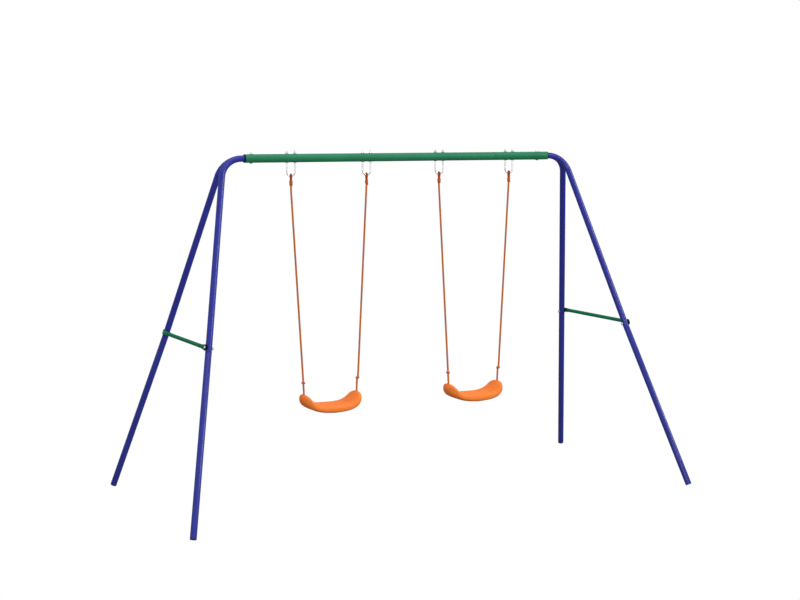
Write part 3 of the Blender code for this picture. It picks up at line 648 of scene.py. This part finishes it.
STEP = 0.0020
SIDES = 30
pair_of = {"left": (HANGER_X[0], HANGER_X[1]),
           "right": (HANGER_X[2], HANGER_X[3])}
knot_z = iter(KNOT_Z)
index = 0
for (swing, pair), centre in zip(pair_of.items(), SWING_X):
    order = ("outer", "inner") if swing == "left" else ("inner", "outer")
    for which, x in zip(order, pair):
        side = -1 if x < centre else 1
        name = "{}_{}_rope".format(swing, which)
        body = swing + "_ropes"
        hole = centre + side * ROPE_HALF_AT_SEAT
        top = np.array((x, 0, WIRE_LOW_Z))
        run = np.array((0.0, 0.0, -1.0))
        across = np.array((1.0, 0.0, 0.0))
        y = np.array((0.0, 1.0, 0.0))
        via = ROUTE[side]

        def at(z):
            return top + run * (WIRE_LOW_Z - z)

        # the free part, from the knot under the eye into the seat
        begin = at(BIG_KNOT_Z + 0.002)
        route = [begin, at(via[0][1] + 0.010), at(via[0][1])]
        route += [np.array((hole + dx, 0, z)) for dx, z in via[1:]]
        line = rounded(route, STEP)
        mesh = rope_mesh(name + "_line", line, ROPE_R + 0.0004, sides=SIDES,
                         round_ends=False, turn=0.7 * index)
        rope = put(name + "_line", mesh, ROPE, body, (name,), sharp=75)

        # the eye: up in front of the wire, over it and down behind it
        r_eye, r_strand = 0.0092, 0.0046
        pts = []
        for z, off in ((BIG_KNOT_Z + 0.004, 0.0040),
                       (BIG_KNOT_Z + 0.012, 0.0047),
                       (BIG_KNOT_Z + 0.020, 0.0056)):
            pts.append(at(z) - y * off)
        for k in range(13):
            a = math.radians(-28 + 236 * k / 12)
            pts.append(top - y * r_eye * math.cos(a)
                       - run * r_eye * math.sin(a))
        for z, off in ((BIG_KNOT_Z + 0.020, 0.0056),
                       (BIG_KNOT_Z + 0.012, 0.0047),
                       (BIG_KNOT_Z + 0.004, 0.0040)):
            pts.append(at(z) + y * off)
        line_eye = smooth_line(pts, 0.0016)
        # the eye takes the darker rope colour: painted shade
        eye = put(name + "_eye",
                  rope_mesh(name + "_eye", line_eye, r_strand, lay=0.032,
                            sides=SIDES, hint=across, turn=1.1),
                  ROPE_EYE_PAINTED_SHADE, body, (), sharp=75)

        # the knot that closes the eye: tight turns round both strands
        turns, r_wrap = 4.0, 0.0043
        hold = at(BIG_KNOT_Z)
        pts = []
        n = 80
        for k in range(n + 1):
            f = k / n
            a = 2 * math.pi * turns * f + 0.6 + 1.3 * index
            swell = math.sin(math.pi * min(max(f, 0.0), 1.0)) ** 0.35
            r = 0.0016 + 0.0042 * swell
            h = 0.0145 - 0.0290 * f
            if side > 0:                  # bell-shaped, wider at its lower end
                swell = math.sin(math.pi * min(max(f, 0.0), 1.0)) ** 0.25
                r = 0.0010 + 0.0048 * swell * (0.62 + 0.38 * f)
                h = 0.0140 - 0.0255 * f
            pts.append(hold - run * h + across * r * math.cos(a)
                       + y * r * math.sin(a))
        if side > 0:                      # its tail sticks out at the bottom
            pts = pts[:-5]
            pts.append(hold + run * 0.0125 + across * 0.0052 - y * 0.0018)
            pts.append(hold + run * 0.0165 + across * 0.0064 - y * 0.0022)
        line_knot = spaced(pts, 0.0014)
        big = put(name + "_eye_knot",
                  rope_mesh(name + "_eye_knot", line_knot, r_wrap, lay=0.026,
                            sides=SIDES, turn=0.4),
                  ROPE_KNOT, body, (), sharp=75)

        # the overhand knot above the seat
        z_small = next(knot_z)
        hold = line[np.abs(line[:, 2] - z_small).argmin()]
        flip = side
        tilt = Matrix.Rotation(math.radians(-20 * flip), 3, Vector(y))
        axis = np.array(tilt @ Vector(run))
        ex = np.array(tilt @ Vector(across))
        pts = []
        n = 44
        for k in range(n + 1):
            f = k / n
            a = 2 * math.pi * 1.45 * f + (0.9 if flip > 0 else 2.6)
            r = 0.0014 + 0.0056 * math.sin(math.pi * f) ** 0.4
            h = 0.0042 - 0.0084 * f
            pts.append(hold - axis * h + ex * r * math.cos(a)
                       + y * r * math.sin(a) * 0.95)
        small = put(name + "_stop_knot",
                    rope_mesh(name + "_stop_knot", spaced(pts, 0.0014), 0.0048,
                              lay=0.026, sides=SIDES, turn=0.2),
                    ROPE_KNOT, body, (), sharp=75)
        index += 1

# --------------------------------------------------------------------------
# Legs and foot plugs
# --------------------------------------------------------------------------
SL = 48
SH = 32
for name, (sx, sy) in LEGS.items():
    drill = cylinder(HOLE_R, -0.040, 0.040,
                     frame_matrix(upper_at(sx, sy, BRACE_Z), outward(sx),
                                  (0, 1, 0)), SH)
    pts = bend_path(sx, sy, 30)
    pts = [tuple(p) for p in pts]
    mesh = hollow(name + "_upper_leg", pts, [LEG_R] * len(pts), LEG_WALL, SL,
                  edge=0.0003)
    end_bolt = cylinder(HOLE_R, -0.036, 0.036, Matrix.Translation(
        (END_BOLT_X[0 if sx < 0 else 1], 0, BAR_Z)), SH)
    mesh = cut(mesh, ("DIFFERENCE", half_space(sy)), ("DIFFERENCE", end_bolt),
               ("DIFFERENCE", drill))
    put(name + "_upper_tube", mesh, BLUE_U, "frame", (name + "_upper_leg",))

    knee = upper_at(sx, sy, LEG_SEAM_Z)
    d_up = -upper_dir(sx, sy)
    end = foot_end(sx, sy)
    d_low = (end - knee).normalized()
    tube_end = end - d_low * (FOOT_FLANGE + GAP)
    swage = LEG_R - LEG_WALL - 0.0006
    line = [knee + d_up * LEG_SWAGE, knee + d_up * 0.0012, knee + d_up * 0.0004,
            knee + d_low * 0.0002, knee + d_low * 0.0008, tube_end]
    radii = [swage, swage, LEG_R - 0.0010, LEG_R - 0.0003, LEG_R, LEG_R]
    mesh = hollow(name + "_lower_leg", [tuple(p) for p in line], radii,
                  LEG_WALL, SL, edge=0.0003)
    mesh = cut(mesh, ("DIFFERENCE", cylinder(
        HOLE_R, -0.040, 0.040, frame_matrix(upper_at(sx, sy, BRACE_Z),
                                            outward(sx), (0, 1, 0)), SH)))
    # the lower tube takes the darker blue copy: painted shade
    put(name + "_lower_tube", mesh, BLUE_LOWER_PAINTED_SHADE, "frame", (name + "_lower_leg",))

    plug_r = LEG_R - LEG_WALL - 0.0006
    fr = LEG_R - 0.0002
    profile = [(0.0, 0.0192), (0.0105, 0.0192), (0.0112, 0.0186),
               (plug_r - 0.0010, 0.0186), (plug_r - 0.0002, 0.0178)]
    for z in (0.0150, 0.0110, 0.0070):     # barbs that grip the bore
        profile += [(plug_r - 0.0007, z + 0.0012), (plug_r - 0.0006, z + 0.0004),
                    (plug_r, z), (plug_r, z - 0.0008), (plug_r - 0.0007, z - 0.0014)]
    profile += [(plug_r - 0.0002, 0.0012), (plug_r, 0.0), (fr - 0.0003, 0.0),
                (fr, -0.0003), (fr, -FOOT_FLANGE + 0.0008),
                (fr - 0.0003, -FOOT_FLANGE + 0.0003),
                (fr - 0.0009, -FOOT_FLANGE), (0.0060, -FOOT_FLANGE),
                (0.0052, -FOOT_FLANGE + 0.0006), (0.0, -FOOT_FLANGE + 0.0006)]
    downhill = Vector((0, 0, -1)) - d_low * Vector((0, 0, -1)).dot(d_low)
    m = frame_matrix(end - d_low * FOOT_FLANGE, -d_low, downhill)
    put(name + "_foot_cap", turned(name + "_foot_cap", profile, SL, m), NAVY,
        "frame", (name + "_foot_plug",))

# --------------------------------------------------------------------------
# Crossbar, its bushings, bolts and nuts
# --------------------------------------------------------------------------
SB = 64
drill_xs = [x + s * UBOLT_HALF for x in HANGER_X for s in (-1, 1)]
drill_xs += list(END_BOLT_X)


def pad(x, sign):
    """A low flat boss round a hole, with a rounded shoulder."""
    lo_z, hi_z, r = 0.0120, PAD_TOP, PAD_R
    profile = [(0.0, lo_z), (r + 0.0008, lo_z), (r + 0.0006, hi_z - 0.0016),
               (r + 0.0002, hi_z - 0.0007), (r - 0.0004, hi_z - 0.0002),
               (r - 0.0011, hi_z), (0.0, hi_z)]
    m = Matrix.Translation((x, 0, BAR_Z))
    if sign < 0:
        m = m @ Matrix.Rotation(math.pi, 4, "X")
    return turned("pad", profile, SH, m)


def bar_section(name, points, radii, bore_pts, bore_radii, xs):
    body = skin(name, tube_rings(points, radii, SB))
    bore = skin("bore", tube_rings(bore_pts, bore_radii, SB))
    pads = join("pads", [pad(x, s) for x in xs for s in (1, -1)])
    holes = join("holes", [cylinder(HOLE_R, -0.036, 0.036,
                                    Matrix.Translation((x, 0, BAR_Z)), SH)
                           for x in xs])
    mesh = cut(body, ("UNION", pads), ("DIFFERENCE", bore),
               ("DIFFERENCE", holes))
    return put(name + "_tube", mesh, GREEN, "frame", (name,))


bore_r = BAR_R - BAR_WALL
swage_r = bore_r - 0.0006
neck_r = swage_r - BAR_WALL
e = 0.0004
L, S, R = BAR_LEFT, BAR_SEAM_X, BAR_RIGHT
bar_section("crossbar_long_section",
            [(L, 0, BAR_Z), (L + e, 0, BAR_Z), (S - 0.004, 0, BAR_Z),
             (S - e, 0, BAR_Z), (S, 0, BAR_Z)],
            [BAR_R - e, BAR_R, BAR_R, BAR_R, BAR_R - e],
            [(L - 0.01, 0, BAR_Z), (S + 0.01, 0, BAR_Z)], [bore_r] * 2,
            [x for x in drill_xs if x < S])
bar_section("crossbar_short_section",
            [(S - BAR_SWAGE, 0, BAR_Z), (S + GAP, 0, BAR_Z),
             (S + 0.0008, 0, BAR_Z), (S + SEAM_GAP, 0, BAR_Z),
             (S + SEAM_GAP + 0.0006, 0, BAR_Z), (R - e, 0, BAR_Z),
             (R, 0, BAR_Z)],
            [swage_r, swage_r, BAR_R - 0.0010, BAR_R - 0.0003, BAR_R, BAR_R,
             BAR_R - e],
            [(S - BAR_SWAGE - 0.01, 0, BAR_Z), (S + 0.002, 0, BAR_Z),
             (S + 0.006, 0, BAR_Z), (R + 0.01, 0, BAR_Z)],
            [neck_r, neck_r, bore_r, bore_r],
            [x for x in drill_xs if x > S])

for side, sx, x_end, x_bolt in (("left", -1, BAR_LEFT, END_BOLT_X[0]),
                                ("right", 1, BAR_RIGHT, END_BOLT_X[1])):
    r_in = LEG_R + GAP + 0.0001
    r_out = BAR_R - BAR_WALL - 0.0005
    length = abs(x_end) - STUB_IN_X
    lip = 0.0055
    profile = [(r_in + 0.0002, lip), (r_in + 0.0006, lip + 0.0002),
               (BAR_R - 0.0026, lip + 0.0001), (BAR_R - 0.0014, lip - 0.0004),
               (BAR_R - 0.0006, lip - 0.0014), (BAR_R - 0.0002, lip - 0.0028),
               (BAR_R - 0.0002, GAP + 0.0003), (BAR_R - 0.0005, GAP),
               (r_out, GAP), (r_out, -length), (r_in, -length), (r_in, lip - 0.0004)]
    m = frame_matrix((x_end, 0, BAR_Z), (sx, 0, 0), (0, 1, 0))
    mesh = turned(side + "_bushing", profile, SB, m, loop=True)
    mesh = cut(mesh, ("DIFFERENCE", cylinder(
        HOLE_R, -0.036, 0.036, Matrix.Translation((x_bolt, 0, BAR_Z)), SH)))
    put(side + "_bushing_ring", mesh, BLACK, "frame",
        (side + "_crossbar_bushing",))


def hex_nut(name):
    """Hex nut with chamfered corners on both faces and a countersunk bore."""
    sides = 72
    ang = (np.arange(sides) + 0.5) * 2 * math.pi / sides
    flat = NUT_AF / 2
    local = (ang + math.pi / 6) % (math.pi / 3) - math.pi / 6
    hexa = flat / np.cos(local)
    rows = []
    inner = 0.00412

    def ring(r, z):
        r = np.broadcast_to(r, (sides,))
        return np.stack([r * np.cos(ang), r * np.sin(ang),
                         np.full(sides, z)], axis=1)

    slope = math.tan(math.radians(60))
    for z in (0.0, 0.0002, 0.0004, 0.0007, 0.0010):
        rows.append(ring(np.minimum(hexa, flat * 0.985 + z * slope), z))
    for z in (0.0010, 0.0007, 0.0004, 0.0002, 0.0):
        rows.append(ring(np.minimum(hexa, flat * 0.985 + z * slope), NUT_H - z))
    rows += [ring(inner + 0.0006, NUT_H), ring(inner, NUT_H - 0.0006),
             ring(inner, 0.0006), ring(inner + 0.0006, 0.0)]
    return skin(name, rows, loop=True)


NUT = hex_nut("hex_nut")


def place_nut(node, matrix):
    mesh = NUT.copy()
    mesh.transform(matrix)
    return put(node + "_hex", mesh, ZINC, "frame", (node,), sharp=25)


for side, x in zip(("left", "right"), END_BOLT_X):
    head, base = 0.0075, -PAD_TOP
    top = 2 * PAD_TOP + 0.0112
    dome = [(head * math.sin(a), -GAP - 0.0034 + 0.0034 * (1 - math.cos(a)))
            for a in np.linspace(0, math.pi / 2, 9)]
    rings = [[(max(r, 1e-6) * math.cos(t), max(r, 1e-6) * math.sin(t), z)
              for t in np.arange(36) * 2 * math.pi / 36] for r, z in
             dome + [(head, -GAP - 0.0001), (head - 0.0002, -GAP),
                     (BOLT_R, -GAP), (BOLT_R, 0.020)]]
    rings += [r.tolist() for r in threaded_rings(
        BOLT_R - 0.0001, 0.0006, 0.00125, 0.0205, top - 0.0010, 36, 0.0002)]
    rings += [[((BOLT_R - 0.0012) * math.cos(t), (BOLT_R - 0.0012) * math.sin(t), top)
               for t in np.arange(36) * 2 * math.pi / 36]]
    mesh = skin(side + "_bar_bolt", rings)
    mesh.transform(Matrix.Translation((x, 0, BAR_Z + base)))
    put(side + "_bar_bolt", mesh, ZINC, "frame", (side + "_crossbar_bolt",))
    place_nut(side + "_crossbar_nut",
              Matrix.Translation((x, 0, BAR_Z + PAD_TOP + GAP)))

# --------------------------------------------------------------------------
# U-bolts
# --------------------------------------------------------------------------
def u_bolt(name, x):
    """A bent round bar; both ends carry a screw thread."""
    sides = 32
    bend_z = WIRE_LOW_Z + UBOLT_HALF
    thread_z0 = BAR_Z + 0.012
    pts = [(x - UBOLT_HALF, 0, thread_z0), (x - UBOLT_HALF, 0, bend_z + 0.004)]
    steps = 40
    for i in range(steps + 1):
        a = math.pi * i / steps
        pts.append((x - UBOLT_HALF * math.cos(a), 0,
                    bend_z - UBOLT_HALF * math.sin(a)))
    pts += [(x + UBOLT_HALF, 0, bend_z + 0.004), (x + UBOLT_HALF, 0, thread_z0)]
    wire = tube_rings(pts, [WIRE_R - 0.00005] * len(pts), sides)
    thread = np.array(threaded_rings(WIRE_R - 0.00005, 0.00055, 0.00125,
                                     0.0, WIRE_TOP_Z - thread_z0 - 0.0008,
                                     sides, 0.0002))
    tip = thread[-1].copy()
    rad = WIRE_R - 0.0011
    ang = np.arange(sides) * 2 * math.pi / sides
    tip = np.stack([rad * np.cos(ang), rad * np.sin(ang),
                    np.full(sides, WIRE_TOP_Z - thread_z0)], axis=1)
    thread = np.concatenate([thread, tip[None]])

    def fit(rings, first):
        """Turn the thread's rings so that they follow on from the wire's."""
        ref = first - np.array((first.mean(0)[0], 0, 0))
        a0 = math.atan2(first[0][1], first[0][0] - first[:, 0].mean())
        a1 = math.atan2(first[1][1], first[1][0] - first[:, 0].mean())
        turn = (a1 - a0 + math.pi) % (2 * math.pi) - math.pi
        order = np.arange(sides) if turn > 0 else (-np.arange(sides)) % sides
        shift = int(round(a0 / (2 * math.pi) * sides)) % sides
        pick = (order + shift) % sides
        return rings[:, pick]

    left = fit(thread, wire[0]) + np.array((x - UBOLT_HALF, 0, thread_z0))
    right = fit(thread, wire[-1]) + np.array((x + UBOLT_HALF, 0, thread_z0))
    rings = np.concatenate([left[::-1], wire[1:-1], right])
    return skin(name, rings)


for swing, pair in pair_of.items():
    order = ("outer", "inner") if swing == "left" else ("inner", "outer")
    for which, x in zip(order, pair):
        node = "{}_{}_u_bolt".format(swing, which)
        put(node + "_bar", u_bolt(node + "_bar", x), ZINC, "frame", (node,))
        for leg, s in (("a", -1), ("b", 1)):
            place_nut("{}_nut_{}".format(node, leg),
                      Matrix.Translation((x + s * UBOLT_HALF, 0,
                                          BAR_Z + PAD_TOP + GAP))
                      @ Matrix.Rotation(0.2 + 0.5 * s + 3.0 * x, 4, "Z"))

# --------------------------------------------------------------------------
# Cross braces with their saddles, caps, bolts and nuts
# --------------------------------------------------------------------------
BRACE_Y = upper_at(1, 1, BRACE_Z).y


def brace_ring(sx, y, count):
    n_out = outward(sx)
    along_leg = Vector((-sx * UPPER_SX, 0.0, 1.0)).normalized()
    beyond = abs(y) - BRACE_Y
    half_t = interp(BRACE_HALF_T, beyond)
    half_h = interp(BRACE_HALF_H, beyond)
    flat = (BRACE_R - half_t) / (BRACE_R - 0.0014)
    base = Vector((sx * (LEG_TOP_X + UPPER_SX * (BAR_Z - BRACE_Z)), 0.0,
                   BRACE_Z)) + n_out * interp(BRACE_OUT, beyond)
    power = 2.0 / (2.0 + 2.0 * flat)
    ring = []
    for i in range(count):
        phi = 2 * math.pi * i / count
        c, s = math.cos(phi), math.sin(phi)
        u = half_t * math.copysign(abs(c) ** power, c)
        v = half_h * math.copysign(abs(s) ** power, s)
        ring.append(tuple(base + Vector((0, y, 0)) + n_out * u + along_leg * v))
    return ring


count = 48
fine = np.concatenate([np.linspace(-0.060, 0.0080, 46),
                       [0.0086, 0.0091, 0.0095, 0.0098]])
half = [0.0, 0.10] + [BRACE_Y + d for d in fine]
stations = [-y for y in reversed(half[1:])] + half
for side, sx in (("left", -1), ("right", 1)):
    mesh = skin(side + "_brace_tube", [brace_ring(sx, y, count) for y in stations])
    holes = join("holes", [cylinder(HOLE_R, 0.010, 0.040, frame_matrix(
        upper_at(sx, sy, BRACE_Z), outward(sx), (0, 1, 0)), SH)
        for sy in (-1, 1)])
    mesh = cut(mesh, ("DIFFERENCE", holes))
    put(side + "_brace_tube", mesh, GREEN_B, "frame", (side + "_cross_brace",))

for name, (sx, sy) in LEGS.items():
    n_out = outward(sx)
    centre = upper_at(sx, sy, BRACE_Z)
    m = frame_matrix(centre, n_out, (0, 1, 0))
    bolt_hole = ("DIFFERENCE", cylinder(HOLE_R, -0.04, 0.04, m, SH))
    rs, fs = SADDLE_R, SADDLE_FACE
    saddle = turned("saddle", [(0.0, 0.004), (rs, 0.004), (rs, fs - 0.0007),
                               (rs - 0.0002, fs - 0.0002), (rs - 0.0007, fs),
                               (0.0, fs)], SL, m)
    hollow_cut = cylinder(LEG_R + 0.0004, -0.05, 0.05, frame_matrix(
        centre, upper_dir(sx, sy), n_out), SB)
    saddle = cut(saddle, ("DIFFERENCE", hollow_cut), bolt_hole)
    put(name + "_saddle_pad", saddle, BLACK, "frame",
        (name + "_brace_saddle",))
    face, (head_r, head_h) = TAB_FACE + GAP, REAR_HEAD
    if sy < 0:
        # black disc outside the flat end, with rounded rims and a fine groove
        rc, f0, f1 = CAP_R, CAP_BACK, CAP_FACE
        cap = turned("cap", [
            (0.0, f0), (rc - 0.0003, f0), (rc, f0 + 0.0003), (rc, f1 - 0.0007),
            (rc - 0.0002, f1 - 0.0003), (rc - 0.0007, f1),
            (rc - 0.0026, f1), (rc - 0.0029, f1 - 0.0003),
            (0.0108, f1 - 0.0003), (0.0105, f1), (0.0, f1)], SL, m)
        put(name + "_cap_disc", cut(cap, bolt_hole), BLACK, "frame",
            (name + "_brace_cap",))
        face, (head_r, head_h) = CAP_FACE + GAP, FRONT_HEAD

    dome = [(head_r * math.sin(a), face + head_h * (0.19 + 0.81 * math.cos(a)))
            for a in np.linspace(0, math.pi / 2, 10)]
    ang = np.arange(36) * 2 * math.pi / 36
    prof = dome + [(head_r, face + 0.0001), (head_r - 0.0001, face),
                   (BOLT_R - 0.0001, face),
                   (BOLT_R - 0.0001, -0.0140)]
    rings = [[(max(r, 1e-6) * math.cos(t), max(r, 1e-6) * math.sin(t), z)
              for t in ang] for r, z in prof]
    thread = threaded_rings(BOLT_R - 0.0001, 0.0006, 0.00125, 0.0, 0.0108, 36,
                            0.0002)
    for r in thread:
        q = r.copy()
        q[:, 2] = -0.0141 - q[:, 2]
        rings.append(q.tolist())
    rings.append([((BOLT_R - 0.0012) * math.cos(t),
                   (BOLT_R - 0.0012) * math.sin(t), -0.0258) for t in ang])
    mesh = skin(name + "_brace_screw", rings)
    mesh.transform(m)
    put(name + "_brace_screw", mesh, ZINC, "frame", (name + "_brace_bolt",))
    place_nut(name + "_brace_nut", m @ Matrix.Rotation(math.pi, 4, "X")
              @ Matrix.Translation((0, 0, LEG_R + 0.0005)))

# --------------------------------------------------------------------------
# Seats
# --------------------------------------------------------------------------
TOP_Z = [(0.0, 0.4886), (0.25, 0.4882), (0.40, 0.4897), (0.52, 0.4929),
         (0.64, 0.4992), (0.74, 0.5106), (0.83, 0.5280), (0.90, 0.5335),
         (0.95, 0.5312), (0.985, 0.5250), (1.0, 0.5150)]
LOW_Z = [(0.0, 0.4395), (0.30, 0.4430), (0.52, 0.4496), (0.70, 0.4604),
         (0.83, 0.4718), (0.92, 0.4865), (0.985, 0.5030), (1.0, 0.5150)]
WIDTH = [(0.0, 1.0), (0.52, 1.0), (0.62, 0.996), (0.70, 0.976),
         (0.77, 0.925), (0.84, 0.832), (0.92, 0.660), (0.97, 0.430),
         (1.0, 0.220)]
DISH = [(0.0, -0.0085), (0.50, -0.0030), (0.75, 0.0080), (0.95, 0.0070),
        (1.0, 0.0)]


def softened(table, a, spread=0.020):
    """The table's value, averaged a little along the seat."""
    total = weight = 0.0
    for k in (-2, -1, 0, 1, 2):
        w = math.exp(-0.5 * k * k)
        reach = min(spread, max(0.0, 1.0 - a) * 0.5)
        q = abs(a + k * reach * 0.8)
        total += w * interp(table, q)
        weight += w
    return total / weight


def closing(table, a, start, end, power):
    """The softened table, which rounds off to its end value past start."""
    if a <= start:
        return softened(table, a)
    t = min(1.0, (a - start) / (1.0 - start))
    return end + (softened(table, start) - end) * (1.0 - t) ** power


def seat_ring(x0, u, n):
    a = abs(u) / SEAT_HALF_LEN
    top = closing(TOP_Z, a, 0.95, 0.5150, 0.33)
    low = closing(LOW_Z, a, 0.95, 0.5150, 0.585)
    width = closing(WIDTH, a, 0.92, 0.0, 0.42) * SEAT_HALF_WIDTH
    dish = softened(DISH, a)
    mid, half_h = (top + low) / 2, (top - low) / 2
    power = 2.0 / 3.4
    ring = []
    for i in range(n):
        phi = 2 * math.pi * (i + 0.5) / n
        c, s = math.cos(phi), math.sin(phi)
        v = width * math.copysign(abs(c) ** power, c)
        z = mid + half_h * math.copysign(abs(s) ** power, s)
        if s > 0:
            z += dish * (1 - abs(c) ** (2 * power))
        ring.append((x0 + u, v, z))
    return ring


n_ring = 96
fr = np.concatenate([np.linspace(0, 0.90, 56),
                     0.9998 - 0.0998 * (1 - np.linspace(0, 1, 22)[1:]) ** 2.2])
us = [-f * SEAT_HALF_LEN for f in fr[::-1][:-1]] + [f * SEAT_HALF_LEN for f in fr]
for swing, centre in zip(("left", "right"), SWING_X):
    mesh = skin(swing + "_seat_shell", [seat_ring(centre, u, n_ring) for u in us])
    tools = []
    for s in (-1, 1):
        x = centre + s * ROPE_HALF_AT_SEAT
        tools.append(turned("mouth", [(0.0, -0.0150), (0.0066, -0.0150),
                                      (0.0068, 0.0), (0.0082, 0.005),
                                      (0.0100, 0.0120), (0.0, 0.0120)], SH,
                            Matrix.Translation((x, 0, HORN_TOP_Z - 0.005))))
    mesh = cut(mesh, ("DIFFERENCE", join("mouths", tools)))
    put(swing + "_seat_shell", mesh, ORANGE, swing + "_swing_seat",
        (swing + "_seat",), sharp=50)

# --------------------------------------------------------------------------
# Stage: white floor and soft studio light
# --------------------------------------------------------------------------
bm = bmesh.new()
bmesh.ops.create_grid(bm, x_segments=1, y_segments=1, size=60.0)
floor_mesh = bpy.data.meshes.new("floor")
bm.to_mesh(floor_mesh)
bm.free()
floor = bpy.data.objects.new("floor", floor_mesh)
scene.collection.objects.link(floor)
floor.location = (0, 0, -0.0004)
fm = bpy.data.materials.new("floor")
fm.use_nodes = True
ft = fm.node_tree
fb = ft.nodes["Principled BSDF"]
fb.inputs["Base Color"].default_value = (0.24, 0.24, 0.24, 1)
fb.inputs["Roughness"].default_value = 0.9
fb.inputs["Specular IOR Level"].default_value = 0.0
em = ft.nodes.new("ShaderNodeEmission")
em.inputs["Color"].default_value = (1, 1, 1, 1)
em.inputs["Strength"].default_value = 1.0
lp = ft.nodes.new("ShaderNodeLightPath")
mx = ft.nodes.new("ShaderNodeMixShader")
ft.links.new(lp.outputs["Is Camera Ray"], mx.inputs[0])
ft.links.new(fb.outputs[0], mx.inputs[1])
ft.links.new(em.outputs[0], mx.inputs[2])
ft.links.new(mx.outputs[0], ft.nodes["Material Output"].inputs["Surface"])
floor_mesh.materials.append(fm)

world = bpy.data.worlds.new("studio")
scene.world = world
world.use_nodes = True
wt = world.node_tree
bg = wt.nodes["Background"]
bg.inputs["Color"].default_value = (1, 1, 1, 1)
bg.inputs["Strength"].default_value = 0.67
white = wt.nodes.new("ShaderNodeBackground")
white.inputs["Color"].default_value = (1, 1, 1, 1)
white.inputs["Strength"].default_value = 1.0
wlp = wt.nodes.new("ShaderNodeLightPath")
wmx = wt.nodes.new("ShaderNodeMixShader")
wt.links.new(wlp.outputs["Is Camera Ray"], wmx.inputs[0])
wt.links.new(bg.outputs[0], wmx.inputs[1])
wt.links.new(white.outputs[0], wmx.inputs[2])
wt.links.new(wmx.outputs[0], wt.nodes["World Output"].inputs["Surface"])


def area(name, place, target, size, power):
    """A soft light; a pair of sizes makes it a wide, low panel."""
    light = bpy.data.lights.new(name, "AREA")
    if isinstance(size, tuple):
        light.shape, light.size, light.size_y = "RECTANGLE", *size
    else:
        light.shape, light.size = "DISK", size
    light.energy = power
    obj = bpy.data.objects.new(name, light)
    scene.collection.objects.link(obj)
    obj.location = place
    aim = Vector(target) - Vector(place)
    obj.rotation_mode = "QUATERNION"
    obj.rotation_quaternion = aim.to_track_quat("-Z", "Y")
    return obj


area("key", (9.95, -7.23, 7.65), (0, 0, 1.2), (9.0, 3.4), 800)
area("top", (0.0, -1.5, 8.0), (0, 0, 1.0), 7.0, 200)
area("fill", (-5.0, -11.0, 2.2), (0, 0, 1.0), 5.0, 385)

scene.view_settings.view_transform = "Standard"
scene.view_settings.look = "None"
scene.view_settings.exposure = 0.0
scene.view_settings.gamma = 1.0
